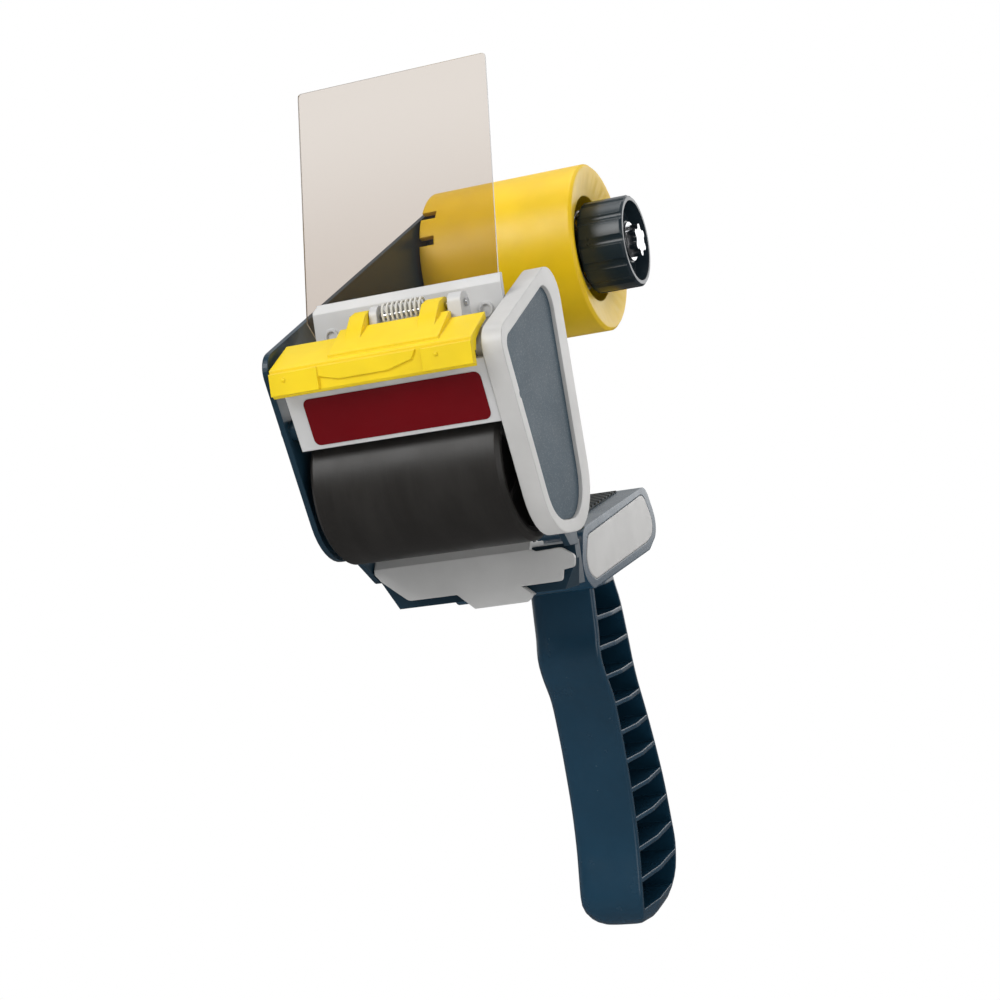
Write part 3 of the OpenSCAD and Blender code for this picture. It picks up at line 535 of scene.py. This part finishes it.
# The right panel is the same navy plastic as the other navy parts. It is coloured paler as painted light,
# for the side that faces the lamps; its flecks are its own.
LIT_NAVY_PANEL = Plastic(
    "slate_plastic", (58, 80, 94), gloss=0.55, grain=Grain.FLECKED, edge=0.3, fleck=(112, 126, 134)
)
WHITE = Plastic("white_plastic", (213, 213, 213), gloss=0.38, edge=0.6, wear_and_sheen=0.02)
WIPER_GREY = Plastic("wiper_plastic", (206, 206, 205), gloss=0.42, edge=0.6, wear_and_sheen=0.02)
LABEL_RED = Plastic(
    "label_film", (112, 8, 18), gloss=0.2, grain=Grain.POLISHED, edge=0.1, wear_and_sheen=0.0, shine=0.25
)
GUARD_YELLOW = Plastic("guard_plastic", (255, 220, 6), gloss=0.42, edge=0.5, wear_and_sheen=0.0, glow=0.08)
HUB_YELLOW = Plastic("hub_plastic", (252, 208, 14), gloss=0.42, edge=0.9, wear_and_sheen=0.0, glow=0.12)
REST_RUBBER = Plastic("rest_rubber", (14, 34, 42), gloss=0.5, edge=0.3, wear_and_sheen=0.1)
FIBRE = Plastic("friction_disc", (110, 90, 66), gloss=0.8, grain=Grain.FLECKED, edge=0.2)
PLATED = Metal("plated_steel", (205, 206, 208), gloss=0.20)
WIRE = Metal("wire_steel", (178, 180, 184), gloss=0.30)
GUARD_WIRE = Plastic("guard_wire", (226, 224, 216), gloss=0.34, edge=0.1, wear_and_sheen=0.0)
BLADE = Metal("blade_steel", (190, 192, 194), gloss=0.26, brushed=(0.05, 1.0, 1.0))
# The roller core's plastic is light. It is coloured near-black here as painted shade inside the roller's
# open end.
CORE_PAINTED_SHADE = Plastic("core_painted_shade", (34, 32, 31), gloss=0.5, edge=0.4, shine=0.3)
ROLLER = Rubber("roller_rubber", (38, 36, 34))
FILM = ClearFilm("clear_film", high=(241, 237, 233), low=(230, 224, 219))

DRESS: dict[str, Any] = {
    "side_frame": FRAME_DARK, "right_frame": LIGHT, "right_panel": LIT_NAVY_PANEL, "front_plate": WHITE,
    "label": LABEL_RED, "blade": BLADE, "bridge": WHITE, "blade_guard": GUARD_YELLOW,
    "guard_pin": PLATED, "guard_spring": GUARD_WIRE, "shield": FILM, "shield_clips": PLATED,
    "roller_rubber": ROLLER, "roller_core": CORE_PAINTED_SHADE, "roller_bushes": WHITE, "roller_axle": PLATED,
    "smoothing_plate": WIPER_GREY, "plate_rivets": PLATED, "hub_drum": HUB_YELLOW,
    "hub_sleeve": WHITE, "hub_bolt": PLATED, "brake_disc": FIBRE, "brake_spring": WIRE,
    "spring_cup": PLATED, "brake_knob": KNOB_NAVY, "star_nut": PLATED, "grip": NAVY,
    "grip_panel": LIGHT, "thumb_rest": REST_RUBBER, "grip_screws": PLATED, "frame_screws": PLATED,
}


class Dresser:
    """Gives the frame's own parts their finishes."""

    def __init__(self, nodes: dict[str, Any]) -> None:
        """Keeps the frame's nodes.

        Args:
            nodes: Objects of the frame by name.
        """
        self.nodes = nodes
        self.built: dict[str, bpy.types.Material] = {}

    def material(self, finish: Any) -> bpy.types.Material:
        """Builds a finish once and returns its material."""
        if finish.name not in self.built:
            self.built[finish.name] = finish.build()
        return self.built[finish.name]

    def dress(self, name: str) -> None:
        """Puts the finish of one part on it."""
        mesh = self.nodes[name].data
        mesh.materials.clear()
        mesh.materials.append(self.material(DRESS[name]))
        LOG.info("dressed %s", name)


# --------------------------------------------------------------------------
# Softened pieces
# --------------------------------------------------------------------------


JOIN_GAP = 1e-6  # metres between points that are one point
FLAT_ANGLE = 0.4  # degrees between faces that are one flat face
ROUND_STEPS = 4
FACE_WEIGHT = 60  # share of the large faces in the smooth shading


@dataclass(frozen=True)
class Softened:
    """A part of the frame with its sharp mould edges rounded.

    Attributes:
        node: Part that it stands for.
        body: Body that it rides on.
        slot: Material slot of the record; not used.
        radius: Width of the rounding in millimetres.
        angle: Least angle of an edge that is rounded, in degrees.
    """

    node: str
    body: str
    slot: str
    radius: float
    angle: float = 40.0

    def build(self, nodes: dict[str, Any], material: bpy.types.Material) -> bpy.types.Object:
        """Copies the part, joins its doubled points and rounds its edges.

        Args:
            nodes: Objects of the frame by name.
            material: Finish of the piece.

        Returns:
            The rounded piece, standing for the part.
        """
        mesh = nodes[self.node].data.copy()
        mesh.name = f"{self.node}_soft"
        form = bmesh.new()
        form.from_mesh(mesh)
        bmesh.ops.remove_doubles(form, verts=form.verts, dist=JOIN_GAP)
        flat = math.radians(FLAT_ANGLE)
        bmesh.ops.dissolve_limit(form, angle_limit=flat, verts=form.verts, edges=form.edges)
        form.to_mesh(mesh)
        form.free()
        mesh.materials.clear()
        mesh.materials.append(material)
        piece = bpy.data.objects.new(mesh.name, mesh)
        bpy.context.scene.collection.objects.link(piece)
        bevel = piece.modifiers.new("rounding", "BEVEL")
        bevel.width = self.radius * MM
        bevel.segments = ROUND_STEPS
        bevel.limit_method = "ANGLE"
        bevel.angle_limit = math.radians(self.angle)
        bevel.use_clamp_overlap = True
        mesh.shade_smooth()
        keep = piece.modifiers.new("facets", "WEIGHTED_NORMAL")
        keep.keep_sharp = False
        keep.weight = FACE_WEIGHT
        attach(piece, self.body)
        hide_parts(self.node)
        LOG.info("softened %s", self.node)
        return piece


SOFT: tuple[Softened, ...] = (
    Softened("right_frame", "frame", "light_plastic", 1.3),
    Softened("hub_drum", "hub", "hub_plastic", 0.9),
    Softened("grip", "frame", "navy_plastic", 0.6, 50.0),
    Softened("grip_panel", "frame", "light_plastic", 0.4),
    Softened("blade_guard", "guard", "guard_plastic", 0.5),
)


# --------------------------------------------------------------------------
# Studio
# --------------------------------------------------------------------------


SENSOR = 36.0  # width of the camera's sensor in millimetres
CLIP_START = 0.02
LAMP_AIM = (0.0, -0.05, 0.12)
FLOOR_REACH = 6.0
FLOOR_PALE = (0.86, 0.86, 0.86, 1.0)
PURE_WHITE = (1.0, 1.0, 1.0, 1.0)
ROOM_FADE = (-0.1, 0.7)  # way to the back between which the mirrored room gets paler


@dataclass
class Studio:
    """Camera, lamps, floor and the pale surroundings.

    Attributes:
        azimuth: Turn of the camera's way round from the front, in degrees.
        roll: Roll of the camera in degrees.
        lens: Focal length in millimetres on a 36 mm sensor.
        eye: Place of the camera from the roller axis, in millimetres.
        floor_z: Height of the floor in metres.
        even: Strength of the surroundings' even light.
        mirror: Strength that reflections see in front of and behind the dispenser.
        lamps: Name, place in metres, size in metres and power in watts of each lamp.
    """

    azimuth: float = 21.06
    roll: float = 8.12
    lens: float = 74.6
    eye: tuple[float, float, float] = (311.7, -743.3, -13.0)
    floor_z: float = -0.30
    even: float = 0.42
    mirror: tuple[float, float] = (0.12, 0.75)
    lamps: list[tuple[str, tuple[float, float, float], float, float]] = field(
        default_factory=lambda: [
            ("key", (-0.55, -1.15, 1.05), 0.75, 12.5),
            ("fill", (1.15, -0.85, 0.35), 0.9, 4.5),
            ("top", (0.1, 0.2, 1.35), 0.8, 6.0),
            ("rear", (0.5, 1.2, 0.5), 0.9, 4.0),
        ]
    )

    def build(self) -> None:
        """Builds the whole studio."""
        self.camera()
        self.light()
        self.floor()
        self.surroundings()
        bpy.context.scene.view_settings.view_transform = "Standard"

    def camera(self) -> None:
        """Places the camera from its turn, roll and eye point."""
        turn, roll = math.radians(self.azimuth), math.radians(self.roll)
        side = Vector((math.cos(turn), math.sin(turn), 0.0))
        way = Vector((-math.sin(turn), math.cos(turn), 0.0))
        up = Vector((0.0, 0.0, 1.0))
        right = side * math.cos(roll) - up * math.sin(roll)
        over = side * math.sin(roll) + up * math.cos(roll)
        lens = bpy.data.cameras.new("view")
        lens.lens = self.lens
        lens.sensor_width = SENSOR
        lens.clip_start = CLIP_START
        eye = bpy.data.objects.new("view", lens)
        turned = Matrix((right, over, -way)).transposed()
        eye.matrix_world = Matrix.Translation(head(*self.eye)) @ turned.to_4x4()
        bpy.context.scene.collection.objects.link(eye)
        bpy.context.scene.camera = eye

    def light(self) -> None:
        """Adds the soft lamps, each facing the dispenser."""
        aim = Vector(LAMP_AIM)
        for name, place, size, power in self.lamps:
            lamp = bpy.data.lights.new(name, "AREA")
            lamp.shape = "SQUARE"
            lamp.size = size
            lamp.energy = power
            piece = bpy.data.objects.new(name, lamp)
            piece.location = place
            piece.rotation_euler = (aim - Vector(place)).to_track_quat("-Z", "Y").to_euler()
            bpy.context.scene.collection.objects.link(piece)

    def floor(self) -> None:
        """Lays a wide pale floor that looks white from the camera."""
        reach, z = FLOOR_REACH, self.floor_z
        mesh = bpy.data.meshes.new("floor")
        corners = [(-reach, -reach, z), (reach, -reach, z), (reach, reach, z), (-reach, reach, z)]
        mesh.from_pydata(corners, [], [(0, 1, 2, 3)])
        piece = bpy.data.objects.new("floor", mesh)
        bpy.context.scene.collection.objects.link(piece)
        g = Graph("floor")
        seen = g.node("ShaderNodeLightPath", out="Is Camera Ray")
        pale = g.node("ShaderNodeBsdfDiffuse", {}, {"Color": FLOOR_PALE})
        white = g.node("ShaderNodeEmission", {}, {"Color": PURE_WHITE, "Strength": 1.0})
        mirrored = g.node("ShaderNodeLightPath", out="Is Glossy Ray")
        dim = g.node("ShaderNodeEmission", {}, {"Color": PURE_WHITE, "Strength": self.mirror[0]})
        under = g.node("ShaderNodeMixShader", {}, {0: mirrored, 1: pale, 2: dim})
        shade = g.node("ShaderNodeMixShader", {}, {0: seen, 1: under, 2: white})
        g.node_output(shade)
        mesh.materials.append(g.material)

    def surroundings(self) -> None:
        """Lights the scene evenly, mirrors a dim room in front and shows white behind."""
        world = bpy.data.worlds.new("studio")
        world.use_nodes = True
        tree = world.node_tree
        tree.nodes.clear()
        path = tree.nodes.new("ShaderNodeLightPath")
        even, room, white = (tree.nodes.new("ShaderNodeBackground") for _ in range(3))
        even.inputs["Strength"].default_value = self.even
        white.inputs["Color"].default_value = PURE_WHITE
        way = tree.nodes.new("ShaderNodeTexCoord")
        parts = tree.nodes.new("ShaderNodeSeparateXYZ")
        tree.links.new(way.outputs["Generated"], parts.inputs[0])
        depth = tree.nodes.new("ShaderNodeMapRange")
        for key, value in enumerate((*ROOM_FADE, *self.mirror), start=1):
            depth.inputs[key].default_value = value
        tree.links.new(parts.outputs["Y"], depth.inputs[0])
        tree.links.new(depth.outputs[0], room.inputs["Strength"])
        glossy = tree.nodes.new("ShaderNodeMixShader")
        tree.links.new(path.outputs["Is Glossy Ray"], glossy.inputs[0])
        tree.links.new(even.outputs[0], glossy.inputs[1])
        tree.links.new(room.outputs[0], glossy.inputs[2])
        mix = tree.nodes.new("ShaderNodeMixShader")
        either = tree.nodes.new("ShaderNodeMath")
        either.operation = "MAXIMUM"
        out = tree.nodes.new("ShaderNodeOutputWorld")
        tree.links.new(path.outputs["Is Camera Ray"], either.inputs[0])
        tree.links.new(path.outputs["Is Transmission Ray"], either.inputs[1])
        tree.links.new(either.outputs[0], mix.inputs[0])
        tree.links.new(glossy.outputs[0], mix.inputs[1])
        tree.links.new(white.outputs[0], mix.inputs[2])
        tree.links.new(mix.outputs[0], out.inputs["Surface"])
        bpy.context.scene.world = world


def main() -> None:
    """Loads the frame, builds the studio, dresses the parts and rounds five of them."""
    logging.basicConfig(level=logging.INFO, format="%(message)s")
    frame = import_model()
    Studio().build()
    dresser = Dresser(frame["nodes"])
    for name in frame["nodes"]:
        dresser.dress(name)
    for soft in SOFT:
        soft.build(frame["nodes"], dresser.material(DRESS[soft.node]))


if __name__ == "__main__":
    main()
